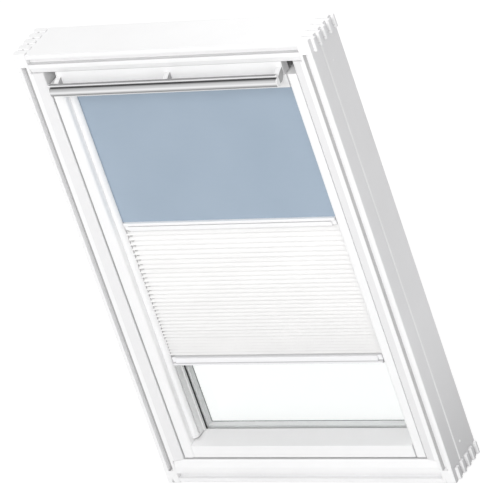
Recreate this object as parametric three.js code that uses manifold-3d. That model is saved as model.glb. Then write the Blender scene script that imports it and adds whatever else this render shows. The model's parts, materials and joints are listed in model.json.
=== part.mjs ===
// Centre-pivot roof window with a vent flap, a control bar and a two-part blind:
// blackout cloth above a mid bar, white pleats below it.
// Millimetres. X runs right as seen from the room, Y outwards, Z up the slope.
// The origin lies in the frame's bottom face, midway between its sides.
import * as THREE from 'three';
import { mergeVertices } from 'three/addons/utils/BufferGeometryUtils.js';
import Module from 'manifold-3d';

const wasm = await Module();
wasm.setup();

// Driving dimensions of the frame
const frameWidth = 780;
const frameHeight = 1180;
const frameDepth = 127;
const originDeep = 61;

// Clearances
const seatGap = 0.3;
const runGap = 0.09;
const slideGap = 0.5;
const sashGap = 3.5;
const weld = 0.0001;
const overrun = 2;

// Frame section. Across is measured in from the outer face, deep from the room face.
const outerLip = 11;
const grooveWidth = 14;
const grooveDepth = 12;
const jambLip = 12;
const headLip = 10;
const sillLip = 16;
const jambFace = 60;
const headFace = 49.5;
const sillFace = 60.5;
const slopeDrop = 5;
const noseRun = 3;
const noseDrop = 3.5;
const noseTurnRun = 0.8;
const noseTurnDrop = 1.2;
const edgeChamfer = 1.5;
const sideLineDeep = 43;
const sideLineWidth = 6;
const sideLineDepth = 3;

// The sill's inner wall leans back so that the sash's bottom edge swings past it
const sillLeanDeep = [7, 55, 100];
const sillLeanBack = [0, 6.9, 9.5];

// Finger joints at the four corners
const fingerBox = 32;
const fingerPitch = 13;
const lastFingerShare = 1.75;
const fingerProud = 7;
const jambFingerProud = 3;
const fingerRound = 4;
const fingerRoot = 13;

// Pivot of the sash, at mid height near the outer face
const pivotBehind = 8;
const pivotHeight = frameHeight / 2;
const bushRadius = 10;
const bushLength = 17.4;
const pinRadius = 6.8;
const armThick = 3.6;
const armSink = 1.5;
const armHalfHeight = 15;
const armRootDeep = 40;

// Sash section, across still measured from the frame's outer face
const sashFaceDeep = 10;
const sashDepth = 88;
const stileFace = 27;
const stileRound = 8;
const topFace = 34.7;
const bottomFace = 32.8;
const sashChamfer = 1.6;
const topBody = 11.2;
const sashTop = 84.3;
const backRailTop = 52.5;
const backRailThick = 32;
const beadWidth = 16.5;
const beadThick = 8;
const bottomLean = 9.3;

// Glass, seal and spacer
const paneThick = 4;
const paneGap = 16;
const glassInset = 1;
const glassEdgeGap = 2.5;
const bottomRebate = 24.7;
const sealThick = 2.6;
const sealWidth = 14;
const sealShow = 2;
const sealHide = 2;
const spacerWidth = 16;
const spacerInset = 5;

// Folded sheet covers on the weather side
const sheetThick = 1.5;
const coverEdge = 6;
const coverFlat = 38;
const coverRise = 8;
const coverBridge = 22;
const coverTurn = 5;
const frameCoverFromPivot = 100;
const sashCoverFromPivot = 82;
const sashCoverOver = 22;
const sashCoverInset = 5;
const bottomCoverInset = 10;
const sashFlangeEdge = 14;
const sashFlangeLift = 2.6;

// Vent flap, hinged on a round bead along its lower front edge
const flapHingeDeep = 10.2;
const flapHingeAcross = 80.3;
const flapCapThick = 2.2;
const flapBead = 3.4;
const flapBack = 21.8;
const flapRadius = 29.3;
const flapTopFront = 0.5;
const flapCrown = 4.6;
const flapWall = 4.2;
const flapChannelTop = 15;

// Control bar, placed from the flap's hinge: out into the room and up
const barOut = 40;
const barBodyTop = 9;
const barBodyBottom = 11.5;
const barFront = 6.6;
const barBackFace = 7;
const barFinTop = 17.6;
const barFinLip = 12.6;
const barFinFront = 2;
const barFinRoot = 2.6;
const barFinRound = 4.2;
const barShoulder = 3;
const barBelly = 3.8;
const barCapThick = 1.8;
const bracketWidth = 12.5;
const bracketInset = 7.2;
const bracketRootTop = 17.3;
const bracketRootBottom = 3;
const bracketBulge = 14;
const bracketBend = 24;
const bracketTip = 1;
const bracketFoot = 11;
const bracketFootDepth = 11;
const bracketHollow = 12;
const bracketHollowDrop = 10;

// Latch in the middle of the top rail
const latchHalf = 40;
const latchThick = 22;
const latchTop = 56;
const tongueWidth = 20;
const tongueThick = 8;
const tongueLength = 26;
const tongueShow = 1.5;
const tongueThrow = 9;
const tongueTip = 1;
const strikeHalf = 28;
const strikeDepth = 26;
const strikeThick = 1.6;
const strikeSlack = 1.5;
const filterThick = 3.2;
const filterEndGap = 2.5;

// Blind cassette and roller, above the glass behind the top rail's lip
const cassetteAhead = 13;
const cassetteLipGap = 2;
const cassetteDepth = 33.5;
const cassetteHeight = 31.4;
const cassetteRound = 3;
const cassetteWall = 1.5;
const cassetteSlot = 2.4;
const capThick = 3.4;
const tubeRadius = 8;
const journalRadius = 4;
const rollRadius = 11;
const rollInset = 8.8;
const rollerBehind = 6;
const rollerBelow = 14.7;

// Side rails of the blind, with a rounded nose and a slot for cloth and glides
const railWidth = 13.7;
const railDepth = 33;
const railNoseDrop = 10.5;
const railNoseBulge = 9.5;
const railNoseRise = 1.8;
const railBackGap = 1.95;
const railSlotAhead = 1.5;
const railSlot = 4;
const railSlotDepth = 8.8;
const railFootLength = 5;
const railBottom = 112;

// Blackout cloth
const clothThick = 0.5;
const clothAhead = 19;
const clothInSlot = 6.3;

// Mid bar and bottom bar, placed along the run from the cassette to the rails' feet
const midBarShare = 0.3718;
const midBarHeight = 19;
const bottomBarShare = 0.7683;
const bottomBarHeight = 21;
const barEndGap = 3;
const barAhead = 3.9;
const barBehind = 7.7;
const barLip = 3.5;
const barLipHeight = 7.5;
const barNose = 5.5;
const barNoseShort = 10.5;
const barNoseDrop = 8.5;
const barEdge = 1.4;
const glideThick = 3;
const glideInSlot = 6.5;
const glideMargin = 2;

// Pleats
const pleatCount = 33;
const pleatDepth = 15;
const pleatBehind = 5;
const pleatThick = 0.7;
const pleatTopShare = 1.3;
const pleatBottomShare = 0.7;
const pleatEndGap = 1;

const roomFace = -originDeep;
const halfWidth = frameWidth / 2;
const round = 10;
const sides = 32;
const smallSides = 24;

// Finish of each kind of surface
const finish = (color, roughness, metalness) => ({ color, roughness, metalness });
const finishes = {
  paint: finish(0xf3f3f1, 0.38, 0),
  cover: finish(0x6f7376, 0.42, 0.75),
  aluminium: finish(0xc4c6c9, 0.28, 1),
  steel: finish(0x9b9ea2, 0.35, 1),
  plastic: finish(0xececea, 0.45, 0),
  rubber: finish(0x19191b, 0.7, 0),
  glass: finish(0xe9f1f2, 0.03, 0),
  foam: finish(0x55585a, 0.95, 0),
  blackout: finish(0xa8b8c8, 0.85, 0),
  pleats: finish(0xf1f0ed, 0.85, 0),
};

// Places on the four sides, as points in the plane that each side's section lies in
const onLeft = ([across, deep]) => [across - halfWidth, roomFace + deep];
const onHead = ([across, deep]) => [roomFace + deep, frameHeight - across];
const onSill = ([across, deep]) => [roomFace + deep, across];

function shapeOf(points) {
  return new THREE.Shape(points.map(([x, y]) => new THREE.Vector2(x, y)));
}

function extrude(shape, length) {
  return new THREE.ExtrudeGeometry(shape, { depth: length, bevelEnabled: false, curveSegments: round });
}

// Prisms along the three axes. Sections are given in XY, YZ and XZ.
function alongZ(points, from, to) {
  return extrude(shapeOf(points), to - from).translate(0, 0, from);
}

function alongX(points, from, to) {
  const turn = new THREE.Matrix4().makeBasis(
    new THREE.Vector3(0, 1, 0),
    new THREE.Vector3(0, 0, 1),
    new THREE.Vector3(1, 0, 0),
  );
  return extrude(shapeOf(points), to - from).applyMatrix4(turn).translate(from, 0, 0);
}

function alongY(shape, from, to) {
  const turn = new THREE.Matrix4().makeBasis(
    new THREE.Vector3(1, 0, 0),
    new THREE.Vector3(0, 0, 1),
    new THREE.Vector3(0, -1, 0),
  );
  return extrude(shape, to - from).applyMatrix4(turn).translate(0, to, 0);
}

function block([x0, x1], [y0, y1], [z0, z1]) {
  const geometry = new THREE.BoxGeometry(x1 - x0, y1 - y0, z1 - z0);
  return geometry.translate((x0 + x1) / 2, (y0 + y1) / 2, (z0 + z1) / 2);
}

function rectangle([x0, x1], [y0, y1]) {
  return [[x0, y0], [x1, y0], [x1, y1], [x0, y1]];
}

function rounded([x0, x1], [y0, y1], radius) {
  const shape = new THREE.Shape();
  shape.moveTo(x0 + radius, y0);
  shape.lineTo(x1 - radius, y0);
  shape.absarc(x1 - radius, y0 + radius, radius, -Math.PI / 2, 0);
  shape.absarc(x1 - radius, y1 - radius, radius, 0, Math.PI / 2);
  shape.absarc(x0 + radius, y1 - radius, radius, Math.PI / 2, Math.PI);
  shape.absarc(x0 + radius, y0 + radius, radius, Math.PI, Math.PI * 1.5);
  return shape.getPoints(round / 2).slice(0, -1).map((point) => [point.x, point.y]);
}

function cylinderX(radius, from, to, around) {
  const geometry = new THREE.CylinderGeometry(radius, radius, to - from, around);
  return geometry.rotateZ(Math.PI / 2).translate((from + to) / 2, 0, 0);
}

// A folded sheet: the polyline's points are one skin, the other lies a thickness to its left
function folded(points, thick) {
  const path = points.map(([x, y]) => new THREE.Vector2(x, y));
  const other = path.map((point, index) => {
    const before = point.clone().sub(path[Math.max(index - 1, 0)]).normalize();
    const after = path[Math.min(index + 1, path.length - 1)].clone().sub(point).normalize();
    const way = before.clone().add(after).normalize();
    const left = new THREE.Vector2(-way.y, way.x);
    const turn = index === 0 || index === path.length - 1 ? 1 : Math.sqrt((1 + before.dot(after)) / 2);
    return point.clone().addScaledVector(left, thick / turn);
  });
  return [...path, ...other.reverse()].map((point) => [point.x, point.y]);
}

// Solids for joining and cutting
function solidOf(geometry) {
  const bare = geometry.clone();
  bare.deleteAttribute('normal');
  bare.deleteAttribute('uv');
  const merged = mergeVertices(bare, weld);
  return new wasm.Manifold(new wasm.Mesh({
    numProp: 3,
    vertProperties: new Float32Array(merged.attributes.position.array),
    triVerts: new Uint32Array(merged.index.array),
  }));
}

function geometryOf(solid) {
  const { vertProperties, triVerts } = solid.getMesh();
  const geometry = new THREE.BufferGeometry();
  geometry.setAttribute('position', new THREE.BufferAttribute(new Float32Array(vertProperties), 3));
  geometry.setIndex(new THREE.BufferAttribute(new Uint32Array(triVerts), 1));
  const faceted = geometry.toNonIndexed();
  faceted.computeVertexNormals();
  return faceted;
}

function carve(body, cuts) {
  let solid = solidOf(body);
  cuts.forEach((cut) => {
    solid = solid.subtract(solidOf(cut));
  });
  return solid;
}

function join(solid, additions) {
  let joined = solid;
  additions.forEach((addition) => {
    joined = joined.add(addition instanceof THREE.BufferGeometry ? solidOf(addition) : addition);
  });
  return joined;
}

// The same piece on the other side of the window
function mirrored(geometry) {
  const flipped = (geometry.index ? geometry.toNonIndexed() : geometry.clone()).scale(-1, 1, 1);
  const { array } = flipped.attributes.position;
  for (let corner = 0; corner < array.length; corner += 9) {
    for (let axis = 0; axis < 3; axis += 1) {
      const kept = array[corner + 3 + axis];
      array[corner + 3 + axis] = array[corner + 6 + axis];
      array[corner + 6 + axis] = kept;
    }
  }
  flipped.computeVertexNormals();
  return flipped;
}

function piece(name, geometry, kind) {
  const made = new THREE.Mesh(geometry, new THREE.MeshStandardMaterial(finishes[kind]));
  made.name = name;
  return made;
}

function pair(name, geometry, kind) {
  return [piece(`${name}_left`, geometry, kind), piece(`${name}_right`, mirrored(geometry), kind)];
}

// Frame members

// Lips and slope of a member, then its inner wall given as points
function memberSection(lip, face, wall) {
  return [
    [0, edgeChamfer],
    [edgeChamfer, 0],
    [outerLip + grooveWidth + lip, 0],
    [face - noseRun, slopeDrop],
    [face - noseTurnRun, slopeDrop + noseTurnDrop],
    ...wall,
    [0, frameDepth],
  ];
}

// The lining groove, cut between the corners once the fingers are on
function liningGroove() {
  return rectangle([outerLip, outerLip + grooveWidth], [-overrun, grooveDepth]);
}

// A groove along the outer face: a square wall, then a ramp
function sideLine() {
  return [
    [0, sideLineDeep + sideLineWidth],
    [sideLineDepth, sideLineDeep],
    [0, sideLineDeep],
  ];
}

// Depths at which one finger ends and the next begins
function fingerEdges() {
  const edges = [0];
  while (edges.at(-1) + lastFingerShare * fingerPitch < frameDepth) {
    edges.push(edges.at(-1) + fingerPitch);
  }
  edges.push(frameDepth);
  return edges;
}

// Every second finger from the room face belongs to the jamb, the others to the head or sill
function fingers(first, make) {
  const edges = fingerEdges();
  const made = [];
  for (let index = first; index < edges.length - 1; index += 2) {
    const near = roomFace + edges[index] + (index === 0 ? 0 : seatGap / 2);
    const far = roomFace + edges[index + 1] - (index === edges.length - 2 ? 0 : seatGap / 2);
    made.push(make(near, far));
  }
  return made;
}

function sillWall(offset) {
  const wall = sillLeanDeep.map((deep, index) => [sillFace - sillLeanBack[index] + offset, deep]);
  return [...wall, [wall.at(-1)[0], frameDepth]];
}

function jamb() {
  const wall = [[jambFace, slopeDrop + noseDrop], [jambFace, frameDepth]];
  const section = [...memberSection(jambLip, jambFace, wall), ...sideLine()];
  const boxEnd = fingerBox + seatGap / 2;
  const ownBox = fingerBox - seatGap / 2;
  const body = alongZ(section.map(onLeft), boxEnd, frameHeight - boxEnd);
  const innerStart = ownBox - halfWidth;
  const innerEnd = jambFace + overrun - halfWidth;
  const headSeat = alongX(
    rectangle([0, headFace + seatGap], [-overrun, frameDepth + overrun]).map(onHead),
    innerStart,
    innerEnd,
  );
  const sillSeat = alongX(
    [
      [-overrun, -overrun],
      [sillFace + seatGap, -overrun],
      ...sillWall(seatGap),
      [sillWall(seatGap).at(-1)[0], frameDepth + overrun],
      [-overrun, frameDepth + overrun],
    ].map(onSill),
    innerStart,
    innerEnd,
  );
  const seatFrom = jambFace - bushLength - seatGap;
  const bushSeat = cylinderX(bushRadius + seatGap, seatFrom, jambFace + overrun, sides)
    .translate(-halfWidth, roomFace + pivotDeep, pivotHeight);
  const ends = [
    [-jambFingerProud, boxEnd + fingerRoot],
    [frameHeight - boxEnd - fingerRoot, frameHeight + jambFingerProud],
  ];
  const tips = ends.flatMap((span) => fingers(0, (near, far) => alongX(
    rounded([near, far], span, fingerRound),
    -halfWidth,
    ownBox - halfWidth,
  )));
  const groove = alongZ(liningGroove().map(onLeft), boxEnd, frameHeight - boxEnd);
  return geometryOf(join(carve(body, [headSeat, sillSeat, bushSeat]), tips).subtract(solidOf(groove)));
}

// The head and the sill run between the jambs, with their fingers through the corners
function crossMember(section, place) {
  const boxEnd = fingerBox + seatGap / 2;
  const ownBox = fingerBox - seatGap / 2;
  const body = solidOf(alongX(section.map(place), boxEnd - halfWidth, halfWidth - boxEnd));
  const [, nearFace] = place([0, 0]);
  const [, farFace] = place([ownBox, 0]);
  const heights = [Math.min(nearFace, farFace), Math.max(nearFace, farFace)];
  const tips = [-1, 1].flatMap((hand) => fingers(1, (near, far) => {
    const ends = [hand * (halfWidth + fingerProud), hand * (halfWidth - boxEnd - fingerRoot)];
    return alongZ(rounded([Math.min(...ends), Math.max(...ends)], [near, far], fingerRound), ...heights);
  }));
  const groove = alongX(liningGroove().map(place), boxEnd - halfWidth, halfWidth - boxEnd);
  return join(body, tips).subtract(solidOf(groove));
}

function head() {
  const wall = [[headFace, slopeDrop + noseDrop], [headFace, frameDepth]];
  const member = crossMember(memberSection(headLip, headFace, wall), onHead);
  const middle = latchDeep + latchThick / 2;
  const recess = alongX(
    rectangle(
      [headFace - strikeThick - seatGap, headFace + overrun],
      [middle - strikeDepth / 2 - seatGap, middle + strikeDepth / 2 + seatGap],
    ).map(onHead),
    -strikeHalf - seatGap,
    strikeHalf + seatGap,
  );
  const pocketTop = latchTop - tongueShow - tongueThrow - strikeSlack;
  const pocket = alongX(
    rectangle(
      [pocketTop, headFace],
      [middle - tongueThick / 2 - strikeSlack, middle + tongueThick / 2 + strikeSlack],
    ).map(onHead),
    -tongueWidth / 2 - strikeSlack,
    tongueWidth / 2 + strikeSlack,
  );
  return geometryOf(member.subtract(solidOf(recess)).subtract(solidOf(pocket)));
}

function sill() {
  return geometryOf(crossMember(memberSection(sillLip, sillFace, sillWall(0)), onSill));
}

// A plate with a slot, let into the head above the latch
function strikePlate() {
  const middle = roomFace + latchDeep + latchThick / 2;
  const low = frameHeight - headFace;
  const heights = [low + seatGap, low + strikeThick];
  const slotHalf = tongueWidth / 2 + strikeSlack;
  const slotDepth = tongueThick / 2 + strikeSlack;
  const reach = strikeDepth / 2;
  const plate = block([-strikeHalf, strikeHalf], [middle - reach, middle + reach], heights);
  const slot = block(
    [-slotHalf, slotHalf],
    [middle - slotDepth, middle + slotDepth],
    [heights[0] - overrun, heights[1] + overrun],
  );
  return geometryOf(carve(plate, [slot]));
}

// A flanged bush in the jamb, with the sash's pin inside it
function pivotBush() {
  const inner = pinRadius + runGap;
  const profile = [
    [inner, 0],
    [bushRadius, 0],
    [bushRadius, bushLength],
    [inner, bushLength],
    [inner, 0],
  ].map(([x, y]) => new THREE.Vector2(x, y));
  const end = jambFace - bushLength - halfWidth;
  return new THREE.LatheGeometry(profile, sides)
    .rotateZ(-Math.PI / 2)
    .translate(end, roomFace + pivotDeep, pivotHeight);
}

// Weather covers of the frame: a flat on the wood, a riser, a bridge and a turned edge
function frameCoverSection() {
  const base = frameDepth + seatGap;
  return folded([
    [coverEdge, base + sheetThick],
    [coverEdge + coverFlat, base + sheetThick],
    [coverEdge + coverFlat + sheetThick, base + coverRise],
    [coverEdge + coverFlat + coverBridge, base + coverRise],
    [coverEdge + coverFlat + coverBridge, base + coverRise - coverTurn],
  ], -sheetThick);
}

function frameCovers() {
  const reach = coverEdge + coverFlat + coverBridge;
  const topEnd = frameHeight - reach - sheetThick - seatGap;
  const across = halfWidth - coverEdge;
  const base = frameDepth + seatGap;
  const sillFlat = rectangle([coverEdge, sillFace - sillLeanBack.at(-1)], [base, base + sheetThick]);
  return [
    piece('head_cover', alongX(frameCoverSection().map(onHead), -across, across), 'cover'),
    ...pair(
      'jamb_cover',
      alongZ(frameCoverSection().map(onLeft), pivotHeight + frameCoverFromPivot, topEnd),
      'cover',
    ),
    piece('sill_cover', alongX(sillFlat.map(onSill), -across, across), 'cover'),
  ];
}

// Sash members

const sashOuter = jambFace + sashGap;
const stileInner = sashOuter + stileFace;
const sashBack = sashFaceDeep + sashDepth;
const pivotDeep = sashBack + pivotBehind;
const glassDeep = sashBack - glassInset - paneThick * 2 - paneGap;
const latchDeep = sashBack - backRailThick - seatGap - filterThick - slideGap - latchThick;
const beadEnd = glassDeep - sealThick - seatGap - seatGap / 2;
const railBack = beadEnd - beadThick - railBackGap;
const railFront = railBack - railDepth;
const clothDeep = railBack - clothAhead;
const railSlotFront = clothDeep - railSlotAhead;
const cassetteFront = clothDeep - cassetteAhead;
const rollerDeep = clothDeep + rollerBehind;
const pleatDeep = clothDeep + pleatBehind;
const topLipThick = cassetteFront - cassetteLipGap - sashFaceDeep;
const bottomOuter = sillFace + sashGap - slideGap;
const bottomInner = bottomOuter + bottomFace;
const topInner = sashTop + topFace;
const topRebate = sashTop + topBody;
const beadTop = topRebate + beadWidth;
const beadBottom = bottomInner + bottomLean;

// Outline of the sash's slanted bottom edge, as across and deep
function sashBottomEdge() {
  const lean = sillLeanBack.map((back) => bottomOuter - back);
  return [[lean[2], sashBack], [lean[1], sillLeanDeep[1]], [lean[0], sashFaceDeep + sashChamfer]];
}

function stile() {
  const roundEdge = new THREE.Path()
    .absarc(stileInner - stileRound, sashFaceDeep + stileRound, stileRound, -Math.PI / 2, 0)
    .getPoints(round / 2);
  const section = [
    [sashOuter, sashFaceDeep + sashChamfer / 2],
    [sashOuter + sashChamfer / 2, sashFaceDeep],
    ...roundEdge.map((point) => [point.x, point.y]),
    [stileInner, sashBack],
    [sashOuter, sashBack],
  ];
  const body = alongZ(section.map(onLeft), 0, frameHeight - sashTop);
  const below = alongX(
    [
      ...sashBottomEdge(),
      [sashBottomEdge().at(-1)[0], -overrun],
      [-overrun, -overrun],
      [-overrun, sashBack + overrun],
      [sashBottomEdge()[0][0], sashBack + overrun],
    ].map(onSill),
    sashOuter - overrun - halfWidth,
    stileInner + overrun - halfWidth,
  );
  const armSeat = block(
    [sashOuter - overrun - halfWidth, sashOuter + armSink - halfWidth],
    [roomFace + armRootDeep - seatGap, roomFace + sashBack + overrun],
    [pivotHeight - armHalfHeight - seatGap, pivotHeight + armHalfHeight + seatGap],
  );
  const bead = alongZ(
    rectangle([stileInner - overrun, stileInner + beadWidth], [beadEnd - beadThick, beadEnd]).map(onLeft),
    beadBottom + seatGap,
    frameHeight - beadTop - seatGap,
  );
  return geometryOf(join(carve(body, [below, armSeat]), [bead]));
}

// The pivot arm is sunk in the stile's side and carries the pin beyond the sash's back
function pivotArm() {
  const face = sashOuter + armSink - seatGap - halfWidth;
  const outline = new THREE.Shape();
  outline.moveTo(armRootDeep, -armHalfHeight);
  outline.lineTo(pivotDeep, -armHalfHeight);
  outline.absarc(pivotDeep, 0, armHalfHeight, -Math.PI / 2, Math.PI / 2);
  outline.lineTo(armRootDeep, armHalfHeight);
  const points = outline.getPoints(round).map((point) => [roomFace + point.x, pivotHeight + point.y]);
  const plate = alongX(points, face - armThick, face);
  const pinEnd = jambFace - bushLength - halfWidth + seatGap;
  const pin = cylinderX(pinRadius, pinEnd, face - armThick / 2, sides)
    .translate(0, roomFace + pivotDeep, pivotHeight);
  return geometryOf(join(solidOf(plate), [pin]));
}

function topRail() {
  const section = [
    [sashTop, sashFaceDeep + sashChamfer],
    [sashTop + sashChamfer, sashFaceDeep],
    [topInner - sashChamfer, sashFaceDeep],
    [topInner, sashFaceDeep + sashChamfer],
    [topInner, sashFaceDeep + topLipThick],
    [topRebate, sashFaceDeep + topLipThick],
    [topRebate, beadEnd - beadThick],
    [beadTop, beadEnd - beadThick],
    [beadTop, beadEnd],
    [topRebate, beadEnd],
    [topRebate, sashBack],
    [sashTop, sashBack],
  ];
  const inner = stileInner + seatGap;
  const body = alongX(section.map(onHead), inner - halfWidth, halfWidth - inner);
  const backFrom = sashBack - backRailThick;
  const backRail = alongX(
    rectangle([backRailTop, sashTop - seatGap], [backFrom, sashBack]).map(onHead),
    sashOuter - halfWidth,
    halfWidth - sashOuter,
  );
  const tie = alongX(
    rectangle([sashTop - overrun, sashTop + overrun], [backFrom, sashBack]).map(onHead),
    inner - halfWidth,
    halfWidth - inner,
  );
  return geometryOf(join(solidOf(body), [backRail, tie]));
}

function bottomRail() {
  const section = [
    ...sashBottomEdge(),
    [bottomOuter + sashChamfer / 2, sashFaceDeep],
    [bottomInner - sashChamfer / 2, sashFaceDeep],
    [bottomInner, sashFaceDeep + sashChamfer],
    [beadBottom, beadEnd],
    [sashOuter + bottomRebate, beadEnd],
    [sashOuter + bottomRebate, sashBack],
  ];
  const inner = stileInner + seatGap;
  return alongX(section.map(onSill), inner - halfWidth, halfWidth - inner);
}

// A flat ring round the glass, given by how far in each side's outer edge lies
function ring({ side, top, bottom }, width, near, far) {
  const outline = shapeOf(rectangle([side - halfWidth, halfWidth - side], [bottom, frameHeight - top]));
  const inner = rectangle(
    [side + width - halfWidth, halfWidth - side - width],
    [bottom + width, frameHeight - top - width],
  );
  outline.holes.push(new THREE.Path(inner.map(([x, z]) => new THREE.Vector2(x, z))));
  return alongY(outline, roomFace + near, roomFace + far);
}

function glazing() {
  const edge = {
    side: stileInner + glassEdgeGap,
    top: topRebate + glassEdgeGap,
    bottom: sashOuter + bottomRebate + glassEdgeGap,
  };
  const across = [edge.side - halfWidth, halfWidth - edge.side];
  const up = [edge.bottom, frameHeight - edge.top];
  const innerBack = glassDeep + paneThick;
  const outerFront = innerBack + paneGap;
  const pane = (from) => block(across, [roomFace + from, roomFace + from + paneThick], up);
  const sealEdge = {
    side: stileInner + beadWidth + sealShow - sealWidth,
    top: beadTop - sealHide - sealWidth,
    bottom: beadBottom - sealHide - sealWidth,
  };
  const spacerEdge = {
    side: edge.side + spacerInset,
    top: edge.top + spacerInset,
    bottom: edge.bottom + spacerInset,
  };
  return [
    piece('inner_pane', pane(glassDeep), 'glass'),
    piece('outer_pane', pane(outerFront), 'glass'),
    piece('pane_spacer', ring(spacerEdge, spacerWidth, innerBack + seatGap, outerFront - seatGap), 'steel'),
    piece('glazing_seal', ring(sealEdge, sealWidth, beadEnd + seatGap, glassDeep - seatGap / 2), 'rubber'),
  ];
}

// Weather covers of the sash: flat on the upper half, lapping over the frame on the lower half
function sashCovers() {
  const base = sashBack + seatGap;
  const lap = frameDepth + sashFlangeLift;
  const wallAcross = sashOuter + sashCoverInset;
  const overGlass = stileInner + sashCoverOver;
  const lapped = (outer, wall, inner) => folded([
    [inner, base],
    [wall, base],
    [wall, lap],
    [outer, lap],
  ], -sheetThick);
  const bottomWall = sashBottomEdge()[0][0] + bottomCoverInset;
  const bottomReach = sashOuter + bottomRebate + sashCoverOver;
  const bottomEnd = bottomReach + seatGap;
  const topReach = topRebate + sashCoverOver;
  const split = pivotHeight - sashCoverFromPivot;
  const flat = rectangle([sashOuter + sashCoverInset / 2, overGlass], [base, base + sheetThick]);
  const topFlat = rectangle([backRailTop + sashCoverInset, topReach], [base, base + sheetThick]);
  const across = halfWidth - sashOuter - sashCoverInset / 2;
  const bottomAcross = halfWidth - sashFlangeEdge;
  const lower = lapped(sashFlangeEdge, wallAcross, overGlass);
  const bottom = lapped(sashFlangeEdge, bottomWall, bottomReach);
  return [
    ...pair('sash_cover', alongZ(lower.map(onLeft), bottomEnd, split - seatGap), 'cover'),
    ...pair(
      'sash_trim',
      alongZ(flat.map(onLeft), split + seatGap, frameHeight - topReach - seatGap),
      'cover',
    ),
    piece('sash_cover_bottom', bottomCover(bottom, bottomAcross, wallAcross, lap), 'cover'),
    piece('sash_cover_top', alongX(topFlat.map(onHead), -across, across), 'cover'),
  ];
}

// The bottom cover laps over the sill, and over the jambs only beyond the frame's depth
function bottomCover(section, reach, wallAcross, lap) {
  const body = alongX(section.map(onSill), -reach, reach);
  const side = (hand) => {
    const ends = [hand * (halfWidth - wallAcross), hand * (reach + overrun)];
    return block(
      [Math.min(...ends), Math.max(...ends)],
      [roomFace, roomFace + lap],
      [-overrun, frameHeight / 2],
    );
  };
  return geometryOf(carve(body, [side(-1), side(1)]));
}

// Vent flap and control bar, modelled about the flap's hinge line

function flapFront(height) {
  const share = height / (flapRadius - flapTopFront);
  const straight = -flapBead + (flapBead - flapTopFront) * share;
  return straight - flapCrown * share * (1 - share);
}

function flapFrontPoints(from, to, offset) {
  const points = [];
  for (let step = 0; step <= round; step += 1) {
    const height = from + ((to - from) * step) / round;
    points.push([flapFront(height) - offset, height]);
  }
  return points;
}

const flapEnd = halfWidth - stileInner - slideGap;
const flapHalf = flapEnd - flapCapThick - seatGap;
const barHalf = flapEnd;
const filterHalf = halfWidth - stileInner - filterEndGap;

function flapSection(channelled) {
  const shape = new THREE.Shape();
  const backAngle = Math.acos(flapBack / flapRadius);
  const topAngle = Math.PI / 2 + Math.asin(flapTopFront / flapRadius);
  shape.absarc(0, 0, flapBead, Math.PI, Math.PI * 1.5);
  shape.lineTo(flapBack, -flapBead);
  if (channelled) {
    shape.lineTo(flapBack, flapWall - flapBead);
    shape.lineTo(flapWall, flapWall - flapBead);
    shape.lineTo(flapWall, flapChannelTop);
    shape.lineTo(flapBack, flapChannelTop);
  }
  shape.absarc(0, 0, flapRadius, backAngle, topAngle);
  const section = shape.getPoints(round).map((point) => [point.x, point.y]);
  const front = flapFrontPoints(flapRadius - flapTopFront, 0, 0).slice(1, -1);
  return [...section, ...front];
}

// Round hand-hold with a finned upper edge, one extrusion
function barSection() {
  const shape = new THREE.Shape();
  const back = barBackFace - barOut;
  const front = -barOut - barFront;
  shape.moveTo(back, barBodyTop / 2);
  shape.lineTo(back - barEdge / 2, barFinTop - barEdge);
  shape.quadraticCurveTo(back - barEdge, barFinTop, back - barFinRound, barFinTop);
  shape.lineTo(-barOut - barFinFront + barEdge, barFinTop);
  shape.quadraticCurveTo(
    -barOut - barFinFront,
    barFinTop,
    -barOut - barFinFront,
    (barFinTop + barFinLip) / 2,
  );
  shape.lineTo(-barOut - barFinFront + barEdge / 2, barFinLip);
  shape.lineTo(barFinRoot - barOut, barFinLip - barEdge / 2);
  shape.lineTo(barFinRoot - barOut, barBodyTop);
  shape.lineTo(-barOut, barBodyTop);
  shape.bezierCurveTo(
    front + barEdge,
    barBodyTop,
    front - barEdge / 2,
    barShoulder,
    front,
    -barBelly,
  );
  shape.bezierCurveTo(
    front + barEdge / 2,
    -barBodyBottom,
    -barOut - barEdge,
    -barBodyBottom,
    -barOut + barEdge,
    -barBodyBottom,
  );
  shape.quadraticCurveTo(back, -barBodyBottom, back, -barBelly);
  return shape.getPoints(round).map((point) => [point.x, point.y]);
}

// Curved arm from the flap's front down to the back of the bar
function bracket() {
  const back = barBackFace - barOut + seatGap;
  const outer = new THREE.QuadraticBezierCurve(
    new THREE.Vector2(flapFront(bracketRootTop) - seatGap, bracketRootTop),
    new THREE.Vector2(-bracketBend, bracketBulge),
    new THREE.Vector2(back, -bracketTip),
  );
  const inner = new THREE.QuadraticBezierCurve(
    new THREE.Vector2(back + bracketFootDepth, -bracketFoot),
    new THREE.Vector2(-bracketHollow, -bracketHollowDrop),
    new THREE.Vector2(flapFront(bracketRootBottom) - seatGap, bracketRootBottom),
  );
  const points = [
    ...outer.getPoints(round),
    new THREE.Vector2(back, -bracketFoot),
    ...inner.getPoints(round),
  ].map((point) => [point.x, point.y]);
  const root = flapFrontPoints(bracketRootBottom, bracketRootTop, seatGap).slice(1, -1);
  return alongX([...points, ...root], -bracketWidth / 2, bracketWidth / 2);
}

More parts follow.
